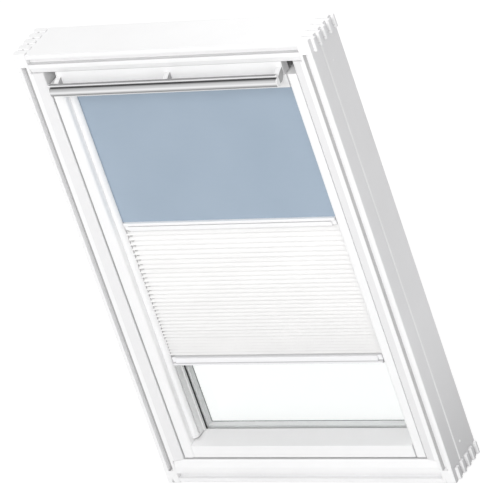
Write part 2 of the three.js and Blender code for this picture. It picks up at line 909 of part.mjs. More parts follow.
function flapGroup() {
  const group = new THREE.Group();
  group.position.set(0, roomFace + flapHingeDeep, frameHeight - flapHingeAcross);
  const spread = barHalf - bracketInset;
  const brackets = [['left', -spread], ['centre', 0], ['right', spread]].map(([where, x]) => {
    const made = piece(`bar_bracket_${where}`, bracket(), 'paint');
    made.position.x = x;
    return made;
  });
  const caps = [['left', -1], ['right', 1]].map(([where, hand]) => {
    const middle = hand * (barHalf + seatGap + barCapThick / 2);
    const cap = alongX(barSection(), middle - barCapThick / 2, middle + barCapThick / 2);
    return piece(`bar_cap_${where}`, cap, 'plastic');
  });
  const flapCap = alongX(flapSection(false), -flapEnd, -flapHalf - seatGap);
  group.add(
    piece('vent_flap', alongX(flapSection(true), -flapHalf, flapHalf), 'paint'),
    ...pair('flap_cap', flapCap, 'plastic'),
    piece('control_bar', alongX(barSection(), -barHalf, barHalf), 'aluminium'),
    ...brackets,
    ...caps,
  );
  return group;
}

// Latch on the top rail

function latchCase() {
  const near = roomFace + latchDeep;
  const heights = [frameHeight - sashTop + seatGap, frameHeight - latchTop];
  const body = block([-latchHalf, latchHalf], [near, near + latchThick], heights);
  const middle = near + latchThick / 2;
  const slot = block(
    [-tongueWidth / 2 - seatGap, tongueWidth / 2 + seatGap],
    [middle - tongueThick / 2 - seatGap, middle + tongueThick / 2 + seatGap],
    [heights[1] + tongueShow - tongueLength - seatGap, heights[1] + overrun],
  );
  return geometryOf(carve(body, [slot]));
}

// Spring tongue with a sloped nose
function latchTongue() {
  const middle = roomFace + latchDeep + latchThick / 2;
  const top = frameHeight - latchTop + tongueShow;
  const section = [
    [middle - tongueThick / 2, top - tongueLength],
    [middle + tongueThick / 2, top - tongueLength],
    [middle + tongueThick / 2, top - tongueThick / 2],
    [middle + tongueTip, top],
    [middle - tongueThick / 2, top],
  ];
  return alongX(section, -tongueWidth / 2, tongueWidth / 2);
}

function airFilter() {
  const back = sashBack - backRailThick - seatGap;
  return alongX(
    rectangle([backRailTop + seatGap, sashTop - seatGap], [back - filterThick, back]).map(onHead),
    -filterHalf,
    filterHalf,
  );
}

// Blind cassette, roller and side rails

const cassetteTop = topRebate + seatGap;
const cassetteEnd = cassetteTop + cassetteHeight;
const rollerAcross = cassetteTop + rollerBelow;
const capOuter = halfWidth - stileInner - seatGap;
const capInner = capOuter - capThick;
const rollHalf = capInner - rollInset;
const blindRun = frameHeight - railBottom - cassetteEnd;
const midBarTop = cassetteEnd + midBarShare * blindRun;
const bottomBarTop = cassetteEnd + bottomBarShare * blindRun;

function cassetteHousing() {
  const far = cassetteFront + cassetteDepth;
  const section = folded([
    [cassetteEnd, clothDeep - cassetteSlot],
    [cassetteEnd, cassetteFront + cassetteRound],
    [cassetteEnd - cassetteRound, cassetteFront],
    [cassetteTop + cassetteRound, cassetteFront],
    [cassetteTop, cassetteFront + cassetteRound],
    [cassetteTop, far],
    [cassetteEnd - cassetteRound, far],
    [cassetteEnd, far - cassetteRound],
    [cassetteEnd, clothDeep + cassetteSlot],
  ], -cassetteWall);
  return alongX(section.map(onHead), seatGap - capInner, capInner - seatGap);
}

function cassetteCap() {
  const plate = alongX(
    rounded(
      [roomFace + cassetteFront, roomFace + cassetteFront + cassetteDepth],
      [frameHeight - cassetteEnd, frameHeight - cassetteTop],
      cassetteRound,
    ),
    -capOuter,
    -capInner,
  );
  const bore = cylinderX(journalRadius + runGap, -capOuter - overrun, overrun - capInner, smallSides)
    .translate(0, roomFace + rollerDeep, frameHeight - rollerAcross);
  return geometryOf(carve(plate, [bore]));
}

function rollerTube() {
  const shoulder = capInner - slideGap;
  const tip = capOuter - slideGap;
  const profile = [
    [0, -tip],
    [journalRadius, -tip],
    [journalRadius, -shoulder],
    [tubeRadius, -shoulder],
    [tubeRadius, shoulder],
    [journalRadius, shoulder],
    [journalRadius, tip],
    [0, tip],
  ].map(([x, y]) => new THREE.Vector2(x, y));
  return new THREE.LatheGeometry(profile, smallSides).rotateZ(-Math.PI / 2);
}

function clothRoll() {
  const inner = tubeRadius + seatGap;
  const profile = [
    [inner, -rollHalf],
    [rollRadius, -rollHalf],
    [rollRadius, rollHalf],
    [inner, rollHalf],
    [inner, -rollHalf],
  ].map(([x, y]) => new THREE.Vector2(x, y));
  return new THREE.LatheGeometry(profile, sides).rotateZ(-Math.PI / 2);
}

function rollerGroup() {
  const group = new THREE.Group();
  group.position.set(0, roomFace + rollerDeep, frameHeight - rollerAcross);
  group.add(piece('roller_tube', rollerTube(), 'steel'), piece('cloth_roll', clothRoll(), 'blackout'));
  return group;
}

const railOuter = stileInner + seatGap;
const railInner = railOuter + railWidth;

function railSection(slotted) {
  const nose = new THREE.QuadraticBezierCurve(
    new THREE.Vector2(railOuter, railFront + railNoseRise),
    new THREE.Vector2(railOuter + railNoseBulge, railFront - railNoseRise),
    new THREE.Vector2(railInner, railFront + railNoseDrop),
  ).getPoints(round).map((point) => [point.x, point.y]);
  const slot = [
    [railInner, railSlotFront],
    [railInner - railSlotDepth, railSlotFront],
    [railInner - railSlotDepth, railSlotFront + railSlot],
    [railInner, railSlotFront + railSlot],
  ];
  return [...nose, ...(slotted ? slot : []), [railInner, railBack], [railOuter, railBack]];
}

function sideRails() {
  const top = frameHeight - cassetteEnd - seatGap;
  const rail = alongZ(railSection(true).map(onLeft), railBottom, top);
  const foot = alongZ(
    railSection(false).map(onLeft),
    railBottom - seatGap - railFootLength,
    railBottom - seatGap,
  );
  return [...pair('side_rail', rail, 'plastic'), ...pair('rail_foot', foot, 'plastic')];
}

// The cloth leaves the roll at a tangent, turns at the cassette's lip and hangs to the mid bar
function blackoutCloth() {
  const reach = rollRadius + seatGap + clothThick;
  const run = new THREE.Vector2(rollerDeep - clothDeep, rollerAcross - cassetteEnd);
  const tangent = Math.sqrt(run.lengthSq() - reach ** 2);
  const way = run.clone().normalize().rotateAround(new THREE.Vector2(), -Math.asin(reach / run.length()));
  const centre = [
    [cassetteEnd + way.y * tangent, clothDeep + way.x * tangent],
    [cassetteEnd, clothDeep],
    [midBarTop - seatGap, clothDeep],
  ];
  const half = halfWidth - railInner + clothInSlot;
  return alongX(folded(centre, clothThick).map(onHead), -half, half);
}

// Bars and pleats of the blind

const barHalfLength = halfWidth - railInner - barEndGap;

// A bar's section, as deep and down from its top: body, then a lip that reaches the rails
function blindBar(height, lipAtTop) {
  const front = clothDeep - barAhead;
  const back = clothDeep + barBehind;
  const lipFront = front - barLip;
  const lipFrom = lipAtTop ? 0 : height - barLipHeight;
  const noseFrom = lipAtTop ? barNoseDrop : 0;
  const noseTo = lipAtTop ? height : height - barNoseDrop;
  const body = blindSection([front, back], [0, height], barEdge / 2);
  const lip = blindSection([lipFront, front + barLip], [lipFrom, lipFrom + barLipHeight], barEdge);
  const nose = blindSection([front - barNose, front + barNose / 2], [noseFrom, noseTo], barEdge);
  const short = barHalfLength - barNoseShort;
  return geometryOf(join(solidOf(alongX(body, -barHalfLength, barHalfLength)), [
    alongX(lip, -barHalfLength, barHalfLength),
    alongX(nose, -short, short),
  ]));
}

function blindSection(deep, down, edge) {
  return rounded(
    deep.map((value) => value - clothDeep),
    [-down[1], -down[0]],
    edge,
  );
}

function glide(height) {
  const from = barHalfLength + seatGap;
  const to = halfWidth - railInner + glideInSlot;
  const outline = shapeOf(rounded([-to, -from], [glideMargin - height, -glideMargin], glideThick / 2));
  return alongY(outline, -glideThick / 2 + seatGap, glideThick / 2 + seatGap);
}

function barGroup(name, top, height, lipAtTop) {
  const group = new THREE.Group();
  group.position.set(0, roomFace + clothDeep, frameHeight - top);
  group.add(
    piece(`${name}_bar`, blindBar(height, lipAtTop), 'plastic'),
    ...pair(`${name}_glide`, glide(height), 'plastic'),
  );
  return group;
}

// One zigzag sheet, its folds close together at the bottom where the cloth gathers
function pleatedCloth() {
  const from = midBarTop + midBarHeight + seatGap;
  const to = bottomBarTop - seatGap;
  const folds = pleatCount * 2;
  const centre = [];
  for (let index = 0; index <= folds; index += 1) {
    const share = index / folds;
    const spread = pleatTopShare * share - ((pleatTopShare - pleatBottomShare) / 2) * share ** 2;
    const side = index === 0 || index === folds ? 0 : (index % 2) * 2 - 1;
    centre.push([pleatDeep + (side * pleatDepth) / 2, from + (to - from) * spread]);
  }
  const section = folded(centre, pleatThick).map(([deep, down]) => [roomFace + deep, frameHeight - down]);
  const half = halfWidth - railInner - pleatEndGap;
  return alongX(section, -half, half);
}

// The window, put together

const frameGroup = new THREE.Group();
frameGroup.add(
  piece('frame_head', head(), 'paint'),
  piece('frame_sill', sill(), 'paint'),
  ...pair('frame_jamb', jamb(), 'paint'),
  ...pair('pivot_bush', pivotBush(), 'steel'),
  piece('strike_plate', strikePlate(), 'steel'),
  ...frameCovers(),
);

const sashGroup = new THREE.Group();
sashGroup.add(
  ...pair('sash_stile', stile(), 'paint'),
  piece('sash_top_rail', topRail(), 'paint'),
  piece('sash_bottom_rail', bottomRail(), 'paint'),
  ...glazing(),
  ...sashCovers(),
  ...pair('pivot_arm', pivotArm(), 'steel'),
  piece('latch_case', latchCase(), 'steel'),
  piece('latch_tongue', latchTongue(), 'steel'),
  piece('air_filter', airFilter(), 'foam'),
  flapGroup(),
  piece('cassette_housing', cassetteHousing(), 'aluminium'),
  ...pair('cassette_cap', cassetteCap(), 'plastic'),
  rollerGroup(),
  ...sideRails(),
  piece('blackout_cloth', blackoutCloth(), 'blackout'),
  barGroup('mid', midBarTop, midBarHeight, true),
  piece('pleated_cloth', pleatedCloth(), 'pleats'),
  barGroup('bottom', bottomBarTop, bottomBarHeight, false),
);

const roofWindow = new THREE.Group();
roofWindow.add(frameGroup, sashGroup);

export default roofWindow;
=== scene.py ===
"""Looks of a centre-pivot roof window with a vent flap, a control bar and a two-part blind."""
import json
import math

import bmesh
import bpy
from mathutils import Matrix, Vector


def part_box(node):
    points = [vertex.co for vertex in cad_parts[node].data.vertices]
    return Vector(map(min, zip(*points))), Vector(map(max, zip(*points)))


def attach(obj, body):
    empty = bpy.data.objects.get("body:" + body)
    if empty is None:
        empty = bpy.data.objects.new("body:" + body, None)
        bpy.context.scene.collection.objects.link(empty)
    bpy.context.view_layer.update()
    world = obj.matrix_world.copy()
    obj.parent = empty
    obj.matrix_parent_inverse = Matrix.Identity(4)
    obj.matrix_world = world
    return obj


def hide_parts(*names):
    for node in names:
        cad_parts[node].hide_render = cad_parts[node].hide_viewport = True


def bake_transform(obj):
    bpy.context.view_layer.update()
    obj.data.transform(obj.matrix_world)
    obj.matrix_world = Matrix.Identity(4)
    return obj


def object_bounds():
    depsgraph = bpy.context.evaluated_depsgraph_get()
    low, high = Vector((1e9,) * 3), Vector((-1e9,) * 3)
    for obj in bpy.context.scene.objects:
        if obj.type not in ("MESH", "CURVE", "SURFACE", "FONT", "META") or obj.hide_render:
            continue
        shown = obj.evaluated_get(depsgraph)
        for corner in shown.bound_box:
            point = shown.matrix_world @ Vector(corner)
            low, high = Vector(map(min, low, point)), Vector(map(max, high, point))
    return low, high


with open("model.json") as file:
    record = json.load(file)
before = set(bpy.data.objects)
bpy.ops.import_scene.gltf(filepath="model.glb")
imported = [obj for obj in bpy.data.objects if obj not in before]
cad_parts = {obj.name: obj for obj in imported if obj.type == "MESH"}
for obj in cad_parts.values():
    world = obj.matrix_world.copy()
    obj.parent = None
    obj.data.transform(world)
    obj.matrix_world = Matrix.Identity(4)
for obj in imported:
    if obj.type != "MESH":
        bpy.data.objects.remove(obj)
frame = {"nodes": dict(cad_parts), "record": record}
cad_box = [list(corner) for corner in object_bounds()]

MM = 0.001

# Camera, fitted to the frame's edges in the photograph
CAMERA_PLACE = (6.2524, -8.7873, 6.0918)
CAMERA_RIGHT = (0.8564, 0.4244, -0.2941)
CAMERA_UP = (0.0212, 0.5402, 0.8413)
CAMERA_LENS = 379.4
CAMERA_SENSOR = 36.0
CAMERA_CLIP = (0.5, 200)


def linked(name, data):
    """A new object in the scene."""
    obj = bpy.data.objects.new(name, data)
    bpy.context.scene.collection.objects.link(obj)
    return obj


def make_camera():
    data = bpy.data.cameras.new("camera")
    data.lens = CAMERA_LENS
    data.sensor_width = CAMERA_SENSOR
    data.clip_start, data.clip_end = CAMERA_CLIP
    camera = linked("camera", data)
    right = Vector(CAMERA_RIGHT).normalized()
    back = right.cross(Vector(CAMERA_UP)).normalized()
    up = back.cross(right)
    turn = Matrix((right, up, back)).transposed().to_4x4()
    camera.matrix_world = Matrix.Translation(CAMERA_PLACE) @ turn
    bpy.context.scene.camera = camera


make_camera()


# Material helpers

EVEN = (1, 1, 1)
BEVEL_SAMPLES = 6
HOLLOW_SAMPLES = 8

# Sockets of a colour mix: share, first colour, second colour; and its result
MIX_INPUTS = (0, 6, 7)
MIX_RESULT = 2

# Width over which a band's edges fade
BAND_SOFT = 0.2 * MM


def grey(level, green=1.0, blue=1.0):
    """A grey, its green or blue a trace stronger or weaker where given."""
    return (level, level * green, level * blue, 1)


class Tree:
    """A material's node tree, with its Principled shader."""

    def __init__(self, name):
        self.material = bpy.data.materials.new(name)
        self.material.use_nodes = True
        self.nodes = self.material.node_tree.nodes
        self.links = self.material.node_tree.links
        self.shader = self.nodes["Principled BSDF"]
        # Each piece's own coordinates are those of the whole window at rest
        self.place = self.add("TexCoord").outputs

    def add(self, kind, settings=None, **inputs):
        made = self.nodes.new("ShaderNode" + kind)
        for key, value in (settings or {}).items():
            setattr(made, key, value)
        for key, value in inputs.items():
            self.feed(made, key.replace("_", " "), value)
        return made

    def feed(self, node, socket, value):
        """Link or set a value at a socket, which is given by its name or number."""
        target = node.inputs[socket]
        if isinstance(value, bpy.types.NodeSocket):
            self.links.new(value, target)
        else:
            target.default_value = value

    def set(self, **inputs):
        for key, value in inputs.items():
            self.feed(self.shader, key.replace("_", " "), value)

    # Patterns

    def coordinates(self, stretch=EVEN):
        return self.add("Mapping", Vector=self.place["Object"], Scale=stretch).outputs["Vector"]

    def noise(self, scale, stretch=EVEN, detail=3.0, roughness=0.5):
        vector = self.coordinates(stretch)
        made = self.add("TexNoise", Vector=vector, Scale=scale, Detail=detail, Roughness=roughness)
        return made.outputs["Fac"]

    def wave(self, scale, direction):
        settings = {"bands_direction": direction}
        made = self.add("TexWave", settings, Vector=self.coordinates(), Scale=scale)
        return made.outputs["Fac"]

    def pores(self, scale):
        made = self.add("TexVoronoi", Vector=self.coordinates(), Scale=scale)
        return made.outputs["Distance"]

    # Numbers

    def math(self, operation, first, second=0.0, clamp=False):
        made = self.add("Math", {"operation": operation, "use_clamp": clamp})
        self.feed(made, 0, first)
        self.feed(made, 1, second)
        return made.outputs["Value"]

    def times(self, first, second, clamp=False):
        return self.math("MULTIPLY", first, second, clamp)

    def ranged(self, value, low, high, from_low=0.0, from_high=1.0):
        """A value carried from one range to another, and kept inside it."""
        made = self.add("MapRange", Value=value)
        for name, number in (
            ("From Min", from_low), ("From Max", from_high), ("To Min", low), ("To Max", high)
        ):
            self.feed(made, name, number)
        return made.outputs["Result"]

    def rising(self, value, low, high):
        """0 up to the low limit, 1 from the high one on."""
        return self.ranged(value, 0.0, 1.0, low, high)

    def falling(self, value, low, high):
        """1 up to the low limit, 0 from the high one on."""
        return self.ranged(value, 1.0, 0.0, low, high)

    def band(self, value, low, high):
        """1 where a value lies between two limits."""
        above = self.rising(value, low - BAND_SOFT, low)
        below = self.falling(value, high, high + BAND_SOFT)
        return self.times(above, below)

    # Where a spot lies

    def along(self, axis):
        """The spot's coordinate along an axis of the window."""
        return self.add("SeparateXYZ", Vector=self.place["Object"]).outputs[axis]

    def off_middle(self):
        """The spot's distance from the window's middle plane."""
        return self.math("ABSOLUTE", self.along("X"))

    def height(self, node):
        """Height across a node, 0 at its foot and 1 at its top."""
        low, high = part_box(node)
        return self.rising(self.along("Z"), low.z, high.z)

    def sideways(self, low, high):
        """1 where the surface faces along X, its X share between the limits where it fades."""
        parts = self.add("SeparateXYZ", Vector=self.place["Normal"])
        return self.rising(self.math("ABSOLUTE", parts.outputs["X"]), low, high)

    def hollow(self, reach, deep, open_share):
        """How far a spot lies in a gap or groove: 1 inside, 0 in the open."""
        made = self.add("AmbientOcclusion", {"samples": HOLLOW_SAMPLES}, Distance=reach)
        return self.falling(made.outputs["AO"], deep, open_share)

    def edges(self, soft, gain):
        """Where the surface bends: 0 on a flat, 1 on an edge."""
        made = self.add("VectorMath", {"operation": "DOT_PRODUCT"})
        self.feed(made, 0, soft)
        self.feed(made, 1, self.add("NewGeometry").outputs["Normal"])
        bend = self.math("SUBTRACT", 1.0, made.outputs["Value"])
        return self.times(bend, gain, clamp=True)

    # Colours

    def mixed(self, share, first, second, blend="MIX"):
        made = self.add("Mix", {"data_type": "RGBA", "blend_type": blend})
        for socket, value in zip(MIX_INPUTS, (share, first, second)):
            self.feed(made, socket, value)
        return made.outputs[MIX_RESULT]

    def ramp(self, value, stops):
        """Grey levels at given shares."""
        made = self.add("ValToRGB", Fac=value)
        points = made.color_ramp.elements
        while len(points) < len(stops):
            points.new(1.0)
        for point, (share, level) in zip(points, stops):
            point.position = share
            point.color = grey(level, blue=1.01)
        return made.outputs["Color"]

    def with_painted_shade(self, colour, share):
        """A colour with painted shade in its gaps and grooves."""
        # Painted shade: a grey mixed in where the surface lies in a gap or groove
        hollow = self.hollow(HOLLOW_REACH, *HOLLOW_LIMITS)
        return self.mixed(self.times(hollow, share), colour, HOLLOW_SHADE_COLOUR)

    # Surface

    def bevel(self, radius):
        return self.add("Bevel", {"samples": BEVEL_SAMPLES}, Radius=radius).outputs["Normal"]

    def bump(self, height, strength, distance, normal=None):
        made = self.add("Bump", Height=height, Strength=strength, Distance=distance)
        if normal is not None:
            self.feed(made, "Normal", normal)
        return made.outputs["Normal"]


# Painted shade in grooves and gaps: within this reach, a spot counts as wholly
# hollow up to the first open share, and as free from the second one on
HOLLOW_REACH = 14 * MM
HOLLOW_LIMITS = (0.2, 0.5)
HOLLOW_SHADE_COLOUR = (0.4, 0.395, 0.4, 1)
PLASTIC_GAP_SHADE = 0.5
PAINT_GAP_SHADE = 0.3

# The two tones between which a material wanders
TONES = {
    "paint": ((0.922, 0.921, 0.924, 1), (0.942, 0.941, 0.944, 1)),
    "plastic": ((0.905, 0.904, 0.908, 1), (0.93, 0.929, 0.932, 1)),
    "cover": ((0.115, 0.122, 0.128, 1), (0.145, 0.152, 0.158, 1)),
    "aluminium": ((0.7, 0.705, 0.72, 1), (0.76, 0.765, 0.775, 1)),
    "spacer": ((0.93, 0.93, 0.935, 1), (0.96, 0.96, 0.965, 1)),
    "steel": ((0.5, 0.51, 0.53, 1), (0.64, 0.645, 0.65, 1)),
    "rubber": ((0.022, 0.022, 0.024, 1), (0.05, 0.05, 0.052, 1)),
    "foam": ((0.03, 0.031, 0.033, 1), (0.1, 0.102, 0.106, 1)),
    "blackout": ((0.34, 0.42, 0.513, 1), (0.365, 0.446, 0.539, 1)),
    "pleats": ((0.935, 0.932, 0.93, 1), (0.96, 0.957, 0.954, 1)),
}

# Share and colour of painted shade on edges, painted highlight on folds, and thicker cloth threads
PAINT_EDGE_SHADE = (0.35, grey(0.84))
COVER_EDGE_HIGHLIGHT = (0.4, (0.28, 0.29, 0.3, 1))
CLOTH_SLUB = (0.12, (0.463, 0.528, 0.602, 1))

# How a pattern is stretched along the timber's grain or an extrusion's length
GRAIN_STRETCH = {"X": (0.05, 1, 1), "Z": (1, 1, 0.05)}
DRAWN_STRETCH = (0.004, 1, 1)
DRAWN_TONE_STRETCH = (0.3, 1, 1)

# The shaded part of each frame member's lining groove: axis, its limits, grey level
GROOVES = {
    "frame_left": ("X", -0.3787, -0.3732, 0.4),
    "frame_right": ("X", 0.3645, 0.3655, 0.63),
    "frame_head": ("Z", 1.1545, 1.1555, 0.68),
    "frame_sill": ("Z", 0.0245, 0.0255, 0.8),
}
GROOVE_REACH = 20 * MM
GROOVE_LIMITS = (0.6, 0.9)

# Painted shade on the jambs' slope beside the sash: distances from the middle, and the Y at
# which it ends
SLOPE_BAND = (0.33, 0.353)
SLOPE_DEEP = (-0.0555, -0.0545)
SLOPE_SHADE_COLOUR = (0.835, 0.832, 0.838, 1)

# Painted shade on the frame's outer sides, darker towards the foot. The limits are distances
# from the middle, and X shares of the surface's direction; the stops are height share and tone
FRAME_HEIGHT = 1.18
SIDE_FACES = (0.384, 0.386)
SIDE_SQUARE = (0.93, 0.97)
SIDE_SHADE_STOPS = (
    (0.0, 0.64), (0.04, 0.67), (0.1, 0.73), (0.16, 0.8), (0.23, 0.86), (0.34, 0.92), (1.0, 0.935),
)


def groove_shade(tree, colour, axis, low, high, level):
    inside = tree.hollow(GROOVE_REACH, *GROOVE_LIMITS)
    line = tree.times(tree.band(tree.along(axis), low, high), inside)
    return tree.mixed(line, colour, grey(level, green=0.995))


def painted_side_shade(tree, colour):
    # Painted shade on the outer sides, darkest at the foot
    side = tree.rising(tree.off_middle(), *SIDE_FACES)
    height = tree.rising(tree.along("Z"), 0.0, FRAME_HEIGHT)
    tone = tree.ramp(height, SIDE_SHADE_STOPS)
    return tree.mixed(tree.times(side, tree.sideways(*SIDE_SQUARE)), colour, tone, "MULTIPLY")


def painted_slope_shade(tree, colour):
    # Painted shade on the slope
    across = tree.band(tree.off_middle(), *SLOPE_BAND)
    front = tree.falling(tree.along("Y"), *SLOPE_DEEP)
    return tree.mixed(tree.times(across, front), colour, SLOPE_SHADE_COLOUR)


def paint(name, along, groove=None, sloped=False):
    """White satin lacquer over timber: the grain just shows; edges and gaps get painted shade."""
    tree = Tree(name)
    grain = tree.noise(420, GRAIN_STRETCH[along], detail=4.0, roughness=0.6)
    peel = tree.noise(900, detail=2.0)
    tone = tree.rising(tree.noise(9), 0.35, 0.65)
    # Painted shade on the edges
    soft = tree.bevel(0.7 * MM)
    edge_share, edge_colour = PAINT_EDGE_SHADE
    edge = tree.times(tree.edges(soft, gain=3.0), edge_share)
    colour = tree.mixed(edge, tree.mixed(tone, *TONES["paint"]), edge_colour)
    if groove:
        colour = painted_side_shade(tree, groove_shade(tree, colour, *groove))
    if sloped:
        colour = painted_slope_shade(tree, colour)
    relief = tree.bump(grain, strength=0.12, distance=0.3 * MM, normal=soft)
    tree.set(
        # The base colour carries painted shade in gaps and grooves
        Base_Color=tree.with_painted_shade(colour, PAINT_GAP_SHADE),
        Roughness=tree.ranged(peel, 0.32, 0.44),
        Normal=tree.bump(peel, strength=0.05, distance=0.2 * MM, normal=relief),
        IOR=1.47,
        Coat_Weight=0.08,
        Coat_Roughness=0.2,
    )
    return tree.material


# Painted shade on sideways faces of moulded parts: limits of the X share of their direction
MOULDED_ENDS = (0.6, 0.9)


def plastic(name, end_shade_grey=None, stops=None, dust_and_shade=PLASTIC_GAP_SHADE):
    """White moulded plastic with a fine even texture.

    Its end faces get painted shade, or bands of painted shade run up the node of the same
    name, where given.
    """
    tree = Tree(name)
    spark = tree.noise(2400, detail=2.0)
    tone = tree.noise(14, detail=2.0)
    soft = tree.bevel(0.4 * MM)
    colour = tree.mixed(tone, *TONES["plastic"])
    if end_shade_grey:
        # Painted shade on the faces that look sideways
        colour = tree.mixed(tree.sideways(*MOULDED_ENDS), colour, grey(end_shade_grey, blue=1.01))
    if stops:
        # Painted shade in bands up the node
        colour = tree.mixed(1.0, colour, tree.ramp(tree.height(name), stops), "MULTIPLY")
    tree.set(
        # The base colour carries painted shade in gaps and grooves
        Base_Color=tree.with_painted_shade(colour, dust_and_shade),
        Roughness=tree.ranged(spark, 0.38, 0.52),
        Normal=tree.bump(spark, strength=0.08, distance=0.1 * MM, normal=soft),
        IOR=1.46,
    )
    return tree.material


def cover(name):
    """Lacquered sheet aluminium with a fine grain, faint streaks and a painted highlight on its
    folds.
    """
    tree = Tree(name)
    grain = tree.noise(1600, detail=2.0)
    streak = tree.rising(tree.noise(30, (1, 1, 0.06), detail=4.0), 0.3, 0.7)
    soft = tree.bevel(0.5 * MM)
    # Painted highlight on the folds
    edge_share, edge_colour = COVER_EDGE_HIGHLIGHT
    edge = tree.times(tree.edges(soft, gain=2.5), edge_share)
    tree.set(
        Base_Color=tree.mixed(edge, tree.mixed(streak, *TONES["cover"]), edge_colour),
        Metallic=0.5,
        Roughness=tree.ranged(grain, 0.36, 0.5),
        Normal=tree.bump(grain, strength=0.1, distance=0.1 * MM, normal=soft),
    )
    return tree.material


def drawn_metal(tree, colour, smoothest, roughest):
    """Satin anodised extrusion: fine lines along its length."""
    lines = tree.noise(900, DRAWN_STRETCH, detail=4.0, roughness=0.7)
    soft = tree.bevel(0.5 * MM)
    tree.set(
        Base_Color=colour,
        Metallic=1.0,
        Roughness=tree.ranged(lines, smoothest, roughest),
        Normal=tree.bump(lines, strength=0.08, distance=0.1 * MM, normal=soft),
        Anisotropic=0.4,
    )
    return tree.material


def aluminium(name):
    tree = Tree(name)
    tone = tree.noise(6, DRAWN_TONE_STRETCH, detail=2.0)
    return drawn_metal(tree, tree.mixed(tone, *TONES["aluminium"]), 0.24, 0.36)


# Height share, grey level of painted reflection and shade: belly, front, channel, fin and
# the fin's top
BAR_REFLECTION_STOPS = (
    (0.0, 0.18), (0.12, 0.25), (0.2, 0.42), (0.29, 0.68), (0.36, 0.86), (0.46, 0.7), (0.55, 0.53),
    (0.62, 0.42), (0.67, 0.34), (0.704, 0.29), (0.715, 0.3), (0.821, 0.3), (0.835, 0.86),
    (0.945, 0.86), (0.966, 0.36),
)
BAR_WANDER = 0.02


def control_bar(name):
    """The handle's extrusion, with painted reflection and shade: bright on its front and fin, dark
    in the channel and the belly.
    """
    tree = Tree(name)
    tone = tree.noise(9, DRAWN_TONE_STRETCH, detail=2.0)
    height = tree.math("ADD", tree.height(name), tree.ranged(tone, -BAR_WANDER, BAR_WANDER))
    return drawn_metal(tree, tree.ramp(height, BAR_REFLECTION_STOPS), 0.28, 0.4)


def spacer(name):
    """Pale foil-faced spacer with a faint bloom."""
    tree = Tree(name)
    bloom = tree.noise(300)
    tree.set(
        Base_Color=tree.mixed(bloom, *TONES["spacer"]),
        Roughness=tree.ranged(bloom, 0.35, 0.5),
        Normal=tree.bump(bloom, strength=0.1, distance=0.1 * MM),
    )
    return tree.material


def steel(name):
    """Zinc plated pressing with a dull mottled bloom."""
    tree = Tree(name)
    bloom = tree.noise(120, detail=5.0, roughness=0.6)
    soft = tree.bevel(0.3 * MM)
    tree.set(
        Base_Color=tree.mixed(tree.rising(bloom, 0.35, 0.65), *TONES["steel"]),
        Metallic=1.0,
        Roughness=tree.ranged(bloom, 0.28, 0.45),
        Normal=tree.bump(bloom, strength=0.1, distance=0.2 * MM, normal=soft),
    )
    return tree.material


def rubber(name):
    """Matt black gasket with a faint bloom."""
    tree = Tree(name)
    dust_and_shade = tree.noise(260, detail=4.0)
    tree.set(
        Base_Color=tree.mixed(dust_and_shade, *TONES["rubber"]),
        Roughness=tree.ranged(dust_and_shade, 0.6, 0.8),
        Normal=tree.bump(dust_and_shade, strength=0.2, distance=0.2 * MM),
    )
    return tree.material


def glass(name):
    """Clear float glass with a trace of dust."""
    tree = Tree(name)
    dust_and_shade = tree.noise(60, detail=5.0, roughness=0.7)
    tree.set(
        Base_Color=(0.985, 0.995, 0.992, 1),
        Roughness=tree.ranged(dust_and_shade, 0.0, 0.012, 0.4, 0.8),
        IOR=1.45,
        Transmission_Weight=1.0,
    )
    return tree.material


def foam(name):
    """Open-pored filter foam."""
    tree = Tree(name)
    pores = tree.pores(900)
    tree.set(
        Base_Color=tree.mixed(tree.rising(pores, 0.1, 0.6), *TONES["foam"]),
        Roughness=0.95,
        Normal=tree.bump(pores, strength=0.9, distance=0.8 * MM),
    )
    return tree.material


THREAD_PITCH = 0.55 * MM


def weave(tree):
    """Height of a plain weave in the XZ plane."""
    # A wave texture of scale 1 repeats every pi / 10
    scale = math.pi / (10 * THREAD_PITCH)
    return tree.math("MAXIMUM", tree.wave(scale, "X"), tree.wave(scale, "Z"))


def blackout(name):
    """Dull blue-grey blackout cloth, plain weave."""
    tree = Tree(name)
    slub = tree.noise(160, (0.15, 1, 1), detail=4.0)
    tone = tree.rising(tree.noise(5, detail=2.0), 0.3, 0.7)
    slub_share, slub_colour = CLOTH_SLUB
    cloth = tree.mixed(tone, *TONES["blackout"])
    relief = tree.bump(slub, strength=0.15, distance=0.2 * MM)
    tree.set(
        Base_Color=tree.mixed(tree.times(slub, slub_share), cloth, slub_colour),
        Roughness=0.85,
        Normal=tree.bump(weave(tree), strength=0.25, distance=0.1 * MM, normal=relief),
        Sheen_Weight=0.15,
        Sheen_Roughness=0.5,
        Specular_IOR_Level=0.25,
    )
    return tree.material


# The pleats' pockets are in shade beside the left rail: distances from the cloth's edge, and
# depths from its middle plane, between which the shade fades
POCKET_COLOUR = (0.42, 0.41, 0.4, 1)
POCKET_WIDTH = (5 * MM, 8 * MM)
POCKET_DEPTH = (-1 * MM, 5 * MM)


def pleats(name):
    """White non-woven pleated cloth."""
    tree = Tree(name)
    low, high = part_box("pleated_cloth")
    middle = (low.y + high.y) / 2
    beside = tree.falling(tree.along("X"), *(low.x + width for width in POCKET_WIDTH))
    pocket = tree.rising(tree.along("Y"), *(middle + depth for depth in POCKET_DEPTH))
    fibre = tree.noise(700, (0.25, 1, 1), detail=5.0, roughness=0.7)
    tone = tree.rising(tree.noise(22, (0.4, 1, 1)), 0.3, 0.7)
    cloth = tree.mixed(tone, *TONES["pleats"])
    tree.set(
        Base_Color=tree.mixed(tree.times(beside, pocket), cloth, POCKET_COLOUR),
        Roughness=0.9,
        Normal=tree.bump(fibre, strength=0.3, distance=0.2 * MM),
        Sheen_Weight=0.1,
        Specular_IOR_Level=0.2,
    )
    return tree.material


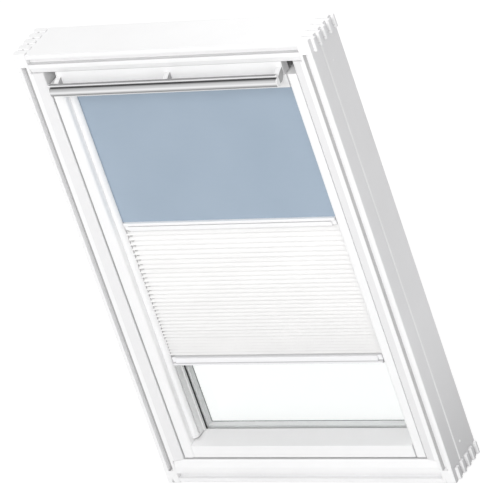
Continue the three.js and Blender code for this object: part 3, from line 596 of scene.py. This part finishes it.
# Painted shade lines along the bottom bar: height share, tone
BOTTOM_SHADE_STOPS = ((0.0, 0.95), (0.22, 0.95), (0.26, 0.66), (0.4, 0.66), (0.44, 1.0), (1.0, 1.0))

MATERIALS = {
    "paint": paint("paint_upright", "Z"),
    "paint_across": paint("paint_across", "X"),
    "frame_left": paint("frame_left", "Z", GROOVES["frame_left"], sloped=True),
    "frame_right": paint("frame_right", "Z", GROOVES["frame_right"], sloped=True),
    "frame_head": paint("frame_head", "X", GROOVES["frame_head"]),
    "frame_sill": paint("frame_sill", "X", GROOVES["frame_sill"]),
    "cover": cover("cover"),
    "aluminium": aluminium("aluminium"),
    "steel": steel("steel"),
    "plastic": plastic("plastic"),
    "bracket": plastic("bracket", end_shade_grey=0.45),
    "rail": plastic("rail", dust_and_shade=0.0),
    "flap_cap": plastic("flap_cap", end_shade_grey=0.66),
    "bottom_bar": plastic("bottom_bar", stops=BOTTOM_SHADE_STOPS),
    "control_bar": control_bar("control_bar"),
    "spacer": spacer("spacer"),
    "rubber": rubber("rubber"),
    "glass": glass("glass"),
    "foam": foam("foam"),
    "blackout": blackout("blackout"),
    "pleats": pleats("pleats"),
}

# Nodes with a finish of their own, in place of the one that goes with their slot
FINISH = {
    "frame_jamb_left": "frame_left",
    "frame_jamb_right": "frame_right",
    "frame_head": "frame_head",
    "frame_sill": "frame_sill",
    "sash_top_rail": "paint_across",
    "sash_bottom_rail": "paint_across",
    "vent_flap": "paint_across",
    "control_bar": "control_bar",
    "pane_spacer": "spacer",
    "bottom_bar": "bottom_bar",
    "side_rail_left": "rail",
    "side_rail_right": "rail",
    "bar_bracket_left": "bracket",
    "bar_bracket_centre": "bracket",
    "bar_bracket_right": "bracket",
    "flap_cap_left": "flap_cap",
    "flap_cap_right": "flap_cap",
}


def dress(obj, material):
    obj.data.materials.clear()
    obj.data.materials.append(MATERIALS[material])


for part in frame["record"]["subparts"]:
    node = part["node"]
    dress(frame["nodes"][node], FINISH.get(node, part["material_slot"]))


# Mesh helpers

# Edges that bend more than this, in degrees, stay sharp
SHARP_ANGLE = 35
FOAM_SHARP_ANGLE = 50

# The least share by which a section's corner may be mitred
MITRE_LIMIT = 0.3


def placed(name, mesh, kind, body=None, sharp=SHARP_ANGLE):
    """A mesh as a smooth-shaded piece with the material of its kind, fixed to its body where given.
    """
    mesh.shade_smooth()
    mesh.set_sharp_from_angle(angle=math.radians(sharp))
    obj = linked(name, mesh)
    dress(obj, kind)
    if body:
        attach(obj, body)
    return obj


def new_piece(name, points, faces, kind, body=None):
    mesh = bpy.data.meshes.new(name)
    mesh.from_pydata([tuple(point) for point in points], [], faces)
    made = bmesh.new()
    made.from_mesh(mesh)
    bmesh.ops.recalc_face_normals(made, faces=made.faces)
    made.to_mesh(mesh)
    made.free()
    return placed(name, mesh, kind, body)


def skinned(path, thick):
    """A thin section round a path of (y, z) points."""
    points = [Vector(point) for point in path]
    left, right = [], []
    for index, point in enumerate(points):
        before = (point - points[index - 1]).normalized() if index else None
        after = (points[index + 1] - point).normalized() if index + 1 < len(points) else None
        before, after = before or after, after or before
        way = (before + after).normalized()
        normal = Vector((-way.y, way.x)) * (thick / 2 / max(MITRE_LIMIT, way.dot(after)))
        left.append(point + normal)
        right.append(point - normal)
    return [tuple(point) for point in left + right[::-1]]


def swept(section, stations):
    """A skinned section carried along X, its shift in Y at each station given as (x, shift)."""
    count = len(section)
    points = [(x, y + shift, z) for x, shift in stations for y, z in section]
    last = (len(stations) - 1) * count
    faces = []
    for index in range(count // 2 - 1):
        end = (index, index + 1, count - 2 - index, count - 1 - index)
        faces.append(end[::-1])
        faces.append(tuple(last + corner for corner in end))
    for ring in range(len(stations) - 1):
        base = ring * count
        for index in range(count):
            after = (index + 1) % count
            faces.append((base + index, base + after, base + count + after, base + count + index))
    return points, faces


def straight(half):
    """The stations of a strip that runs straight across the window."""
    return [(-half, 0.0), (half, 0.0)]


# Blackout cloth: off the roll, over the cassette's lip and down to the mid bar

CLOTH_THICK = 0.4 * MM
CLOTH_STEPS = 96

# Slack across the cloth's width: size in mm, rate per metre, phase; it fades at the edges
RIPPLES = ((0.16, 19.0, 0.6), (0.09, 47.0, 2.1))
RIPPLE_FADE = 20 * MM


def roll_circle():
    """Centre, as (y, z), and radius of the cloth's roll."""
    low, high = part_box("cloth_roll")
    return Vector(((low + high) / 2).yz), (high.z - low.z) / 2


def tangent_point(centre, radius, outside):
    """Where a line from outside touches the roll on its room side."""
    run = outside - centre
    angle = math.atan2(run.y, run.x)
    spread = math.acos(radius / run.length)
    ways = (angle - spread, angle + spread)
    found = [centre + radius * Vector((math.cos(way), math.sin(way))) for way in ways]
    return min(found, key=lambda point: point.x)


def ripple(x, half):
    """The cloth's slack at a place across its width."""
    slack = MM * sum(size * math.sin(x * rate + phase) for size, rate, phase in RIPPLES)
    return slack * min(1.0, (half - abs(x)) / RIPPLE_FADE)


def blackout_cloth():
    low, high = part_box("blackout_cloth")
    plane = high.y - CLOTH_THICK / 2
    lip = Vector((plane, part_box("cassette_housing")[0].z))
    centre, radius = roll_circle()
    touch = tangent_point(centre, radius + CLOTH_THICK, lip)
    section = skinned([touch, lip, Vector((plane, low.z))], CLOTH_THICK)
    half = high.x
    places = [-half + 2 * half * step / CLOTH_STEPS for step in range(CLOTH_STEPS + 1)]
    stations = [(x, ripple(x, half)) for x in places]
    cloth = new_piece("cloth_upper", *swept(section, stations), "blackout")
    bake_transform(cloth)
    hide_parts("blackout_cloth")


ROLL_INNER = 8.3 * MM
ROLL_TURNS = 5
ROLL_START = math.radians(205)
TURN_STEPS = 40

# The wound cloth's share of the cloth's thickness, which leaves air between the turns
WOUND_SHARE = 0.9


def cloth_roll():
    """The wound part of the cloth, as a spiral of real turns."""
    centre, radius = roll_circle()
    pitch = (radius - ROLL_INNER - CLOTH_THICK) / ROLL_TURNS
    path = []
    for step in range(ROLL_TURNS * TURN_STEPS + 1):
        turns = step / TURN_STEPS
        angle = ROLL_START - turns * 2 * math.pi
        out = ROLL_INNER + CLOTH_THICK / 2 + pitch * turns
        path.append((centre.x + out * math.cos(angle), centre.y + out * math.sin(angle)))
    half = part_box("cloth_roll")[1].x
    section = skinned(path, CLOTH_THICK * WOUND_SHARE)
    roll = new_piece("cloth_wound", *swept(section, straight(half)), "blackout", "roller")
    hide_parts("cloth_roll")


# Pleated cloth, in bands

FOLDS = 66
BAND_FOLDS = (1, 1, 1, 1, 2, 2, 2, 3, 4, 7, 9, 9, 7, 4, 3, 2, 2, 2, 1, 1, 2)

# The pleats' pitch at the top and at the bottom, as shares of their mean pitch
TOP_SHARE, BOTTOM_SHARE = 1.3, 0.7
PLEAT_THICK = 0.45 * MM

# Room left to the bars and inside the CAD cloth's depth; room taken from the gap to the rails
PLEAT_CLEAR = 0.3 * MM
PLEAT_GAP_TAKEN = 0.8 * MM

# A fold is blunt over this length; its tip and its shoulders are drawn in by these shares
FOLD_SOFT = 0.9 * MM
FOLD_BLUNT_SHARE = 0.3
SHOULDER_ALONG, SHOULDER_IN = 0.4, 0.7


def fold_points(top, height, middle, half_depth):
    """The folds as (y, z), by turns on the room side and on the pane's."""
    folds = []
    for index in range(FOLDS + 1):
        share = index / FOLDS
        down = TOP_SHARE * share - (TOP_SHARE - BOTTOM_SHARE) / 2 * share ** 2
        side = 0 if index in (0, FOLDS) else (index % 2) * 2 - 1
        folds.append(Vector((middle + side * half_depth, top - height * down)))
    return folds


def soft_fold(before, here, after):
    """The points of a blunt fold between its neighbours."""
    back = (before - here).normalized() * FOLD_SOFT
    ahead = (after - here).normalized() * FOLD_SOFT
    blunt = (back + ahead) / 2 * FOLD_BLUNT_SHARE
    drawn_in = blunt * SHOULDER_IN
    return [
        here + back, here + back * SHOULDER_ALONG + drawn_in, here + blunt,
        here + ahead * SHOULDER_ALONG + drawn_in, here + ahead,
    ]


def band_path(folds, first, last):
    """From the middle of one facet to the middle of another, or to the cloth's end."""
    def facet_middle(index):
        return (folds[index] + folds[index + 1]) / 2

    path = [folds[0] if first == 0 else facet_middle(first)]
    for index in range(first + 1, min(last, FOLDS - 1) + 1):
        path += soft_fold(*folds[index - 1:index + 2])
    path.append(folds[FOLDS] if last == FOLDS else facet_middle(last))
    return path


def pleated_cloth():
    low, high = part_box("pleated_cloth")
    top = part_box("mid_bar")[0].z - PLEAT_CLEAR
    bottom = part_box("bottom_bar")[1].z + PLEAT_CLEAR
    height = top - bottom
    middle = (low.y + high.y) / 2
    folds = fold_points(top, height, middle, (high.y - low.y) / 2 - PLEAT_CLEAR)
    half = high.x + PLEAT_GAP_TAKEN
    last = 0
    for band, count in enumerate(BAND_FOLDS):
        first, last = last, last + count
        path = band_path(folds, first, last)
        section = skinned(path, PLEAT_THICK)
        piece = new_piece(f"pleats_{band:02d}", *swept(section, straight(half)), "pleats")
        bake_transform(piece)
        if band == 0:
            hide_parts("pleated_cloth")


# Filter foam: a strip in the vent gap

# Cuts across X and Z: the axis's number, count
FOAM_CUTS = ((0, 79), (2, 5))

# The waves of the long faces: their mean depth, and two pairs of rates along X and Z
FOAM_WAVE = 0.25 * MM
FOAM_RATES = ((310, 900), (173, -410))

# How much more they are drawn in at the strip's edges, from this share of its width off the
# middle
FOAM_EDGE_DRAW = 0.3 * MM
FOAM_EDGE = 0.49


def filter_foam():
    """A soft strip whose long faces are slightly uneven."""
    low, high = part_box("air_filter")
    centre, size = (low + high) / 2, high - low
    made = bmesh.new()
    bmesh.ops.create_cube(made, size=1)
    for axis, cuts in FOAM_CUTS:
        edges = []
        for edge in made.edges:
            # The unit cube's uncut edges along this axis
            run = edge.verts[0].co - edge.verts[1].co
            if abs(run[axis]) > 0.5:
                edges.append(edge)
        bmesh.ops.subdivide_edges(made, edges=edges, cuts=cuts, use_grid_fill=True)
    for vertex in made.verts:
        x, y, z = (vertex.co[axis] * size[axis] for axis in range(3))
        first, second = (x * along + z * up for along, up in FOAM_RATES)
        draw = FOAM_WAVE * (1 + math.sin(first) * math.cos(second))
        if abs(vertex.co.z) > FOAM_EDGE:
            draw += FOAM_EDGE_DRAW
        vertex.co = centre + Vector((x, y - math.copysign(draw, y), z))
    mesh = bpy.data.meshes.new("filter_foam")
    made.to_mesh(mesh)
    made.free()
    strip = placed("filter_foam", mesh, "foam", "sash", FOAM_SHARP_ANGLE)
    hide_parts("air_filter")


# Cover plugs over the frame's corner screws, on both outer sides

# Depth from the room face and height over the frame's foot, in mm
PLUG_PLACES = ((74.5, 1090.0), (69.0, 69.0))

# Radius, and height above the side, in mm
PLUG_PROFILE = (
    (0.7, 0.3), (1.1, 0.32), (1.5, 0.72), (2.4, 0.74), (3.0, 0.6), (3.3, 0.3), (3.4, 0.02),
)
PLUG_SIDES = 24


def plug_faces():
    """Faces of a turned plug, closed at its top and its foot."""
    faces = []
    last = (len(PLUG_PROFILE) - 1) * PLUG_SIDES
    for base in range(0, last, PLUG_SIDES):
        top = base + PLUG_SIDES
        for step in range(PLUG_SIDES):
            after = (step + 1) % PLUG_SIDES
            faces.append((base + step, base + after, top + after, top + step))
    for ring in (0, last):
        faces.append(tuple(range(ring, ring + PLUG_SIDES)))
    return faces


def screw_plugs():
    low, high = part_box("frame_jamb_right")
    for side, jamb in ((-1, "left"), (1, "right")):
        for place, (deep, up) in enumerate(PLUG_PLACES):
            points = []
            for radius, rise in PLUG_PROFILE:
                for step in range(PLUG_SIDES):
                    turn = 2 * math.pi * step / PLUG_SIDES
                    points.append((
                        side * (high.x + rise * MM),
                        low.y + (deep + radius * math.cos(turn)) * MM,
                        (up + radius * math.sin(turn)) * MM,
                    ))
            new_piece(f"screw_plug_{jamb}_{place}", points, plug_faces(), "plastic", "frame")


screw_plugs()
blackout_cloth()
cloth_roll()
pleated_cloth()
filter_foam()


# Floor, light and background

FLOOR_HALF = 40.0
FLOOR_GAP = 0.4 * MM
FLOOR_GREY = 0.75

# The floor as it is seen: a glow, with a faint shadow on it
FLOOR_GLOW = 0.84
FLOOR_SHADE = 0.26

WORLD_LIGHT = 0.535
WORLD_SEEN = 1.0
SEEN_RAYS = ("Is Camera Ray", "Is Glossy Ray", "Is Transmission Ray")

# Name, place, watts
LAMPS = (
    ("key", (0.7, -5.5, 4.8), 190.0),
    ("fill", (3.2, -5.2, 2.2), 66.0),
    ("rim", (-1.0, 4.2, 4.0), 90.0),
)
LAMP_SIZE = 3.0
LAMP_AIM = (0, 0, 0.6)


def new_node(tree, kind, **values):
    made = tree.nodes.new("ShaderNode" + kind)
    for socket, value in values.items():
        made.inputs[socket].default_value = value
    return made


def is_seen(tree):
    """1 for rays that show the background: straight, mirrored or through glass."""
    rays = new_node(tree, "LightPath").outputs
    total = rays[SEEN_RAYS[0]]
    for name in SEEN_RAYS[1:]:
        made = new_node(tree, "Math")
        made.operation = "MAXIMUM"
        tree.links.new(total, made.inputs[0])
        tree.links.new(rays[name], made.inputs[1])
        total = made.outputs[0]
    return total


def show(tree, plain, seen, output):
    """One shader for light that falls on things, another for what is seen."""
    pick = new_node(tree, "MixShader")
    for socket, source in enumerate((is_seen(tree), plain.outputs[0], seen.outputs[0])):
        tree.links.new(source, pick.inputs[socket])
    tree.links.new(pick.outputs[0], tree.nodes[output].inputs["Surface"])


def make_floor():
    material = bpy.data.materials.new("floor")
    material.use_nodes = True
    tree = material.node_tree
    tree.nodes.remove(tree.nodes["Principled BSDF"])
    plain = new_node(tree, "BsdfDiffuse", Color=grey(FLOOR_GREY))
    faint = new_node(tree, "BsdfDiffuse", Color=grey(FLOOR_SHADE))
    glow = new_node(tree, "Emission", Strength=FLOOR_GLOW)
    both = new_node(tree, "AddShader")
    tree.links.new(faint.outputs[0], both.inputs[0])
    tree.links.new(glow.outputs[0], both.inputs[1])
    show(tree, plain, both, "Material Output")
    mesh = bpy.data.meshes.new("floor")
    z = cad_box[0][2] - FLOOR_GAP
    corners = [(x * FLOOR_HALF, y * FLOOR_HALF, z) for x, y in ((-1, -1), (1, -1), (1, 1), (-1, 1))]
    mesh.from_pydata(corners, [], [(0, 1, 2, 3)])
    mesh.materials.append(material)
    linked("floor", mesh)


def make_world():
    world = bpy.data.worlds.new("studio")
    world.use_nodes = True
    tree = world.node_tree
    light = tree.nodes["Background"]
    light.inputs["Color"].default_value = grey(1.0)
    light.inputs["Strength"].default_value = WORLD_LIGHT
    seen = new_node(tree, "Background", Color=grey(1.0), Strength=WORLD_SEEN)
    show(tree, light, seen, "World Output")
    bpy.context.scene.world = world


def make_lamps():
    for name, place, watts in LAMPS:
        data = bpy.data.lights.new(name, "AREA")
        data.shape = "DISK"
        data.size = LAMP_SIZE
        data.energy = watts
        lamp = linked(name, data)
        lamp.location = place
        lamp.rotation_mode = "QUATERNION"
        way = Vector(LAMP_AIM) - Vector(place)
        lamp.rotation_quaternion = way.to_track_quat("-Z", "Y")


make_floor()
make_world()
make_lamps()
bpy.context.scene.view_settings.view_transform = "Standard"
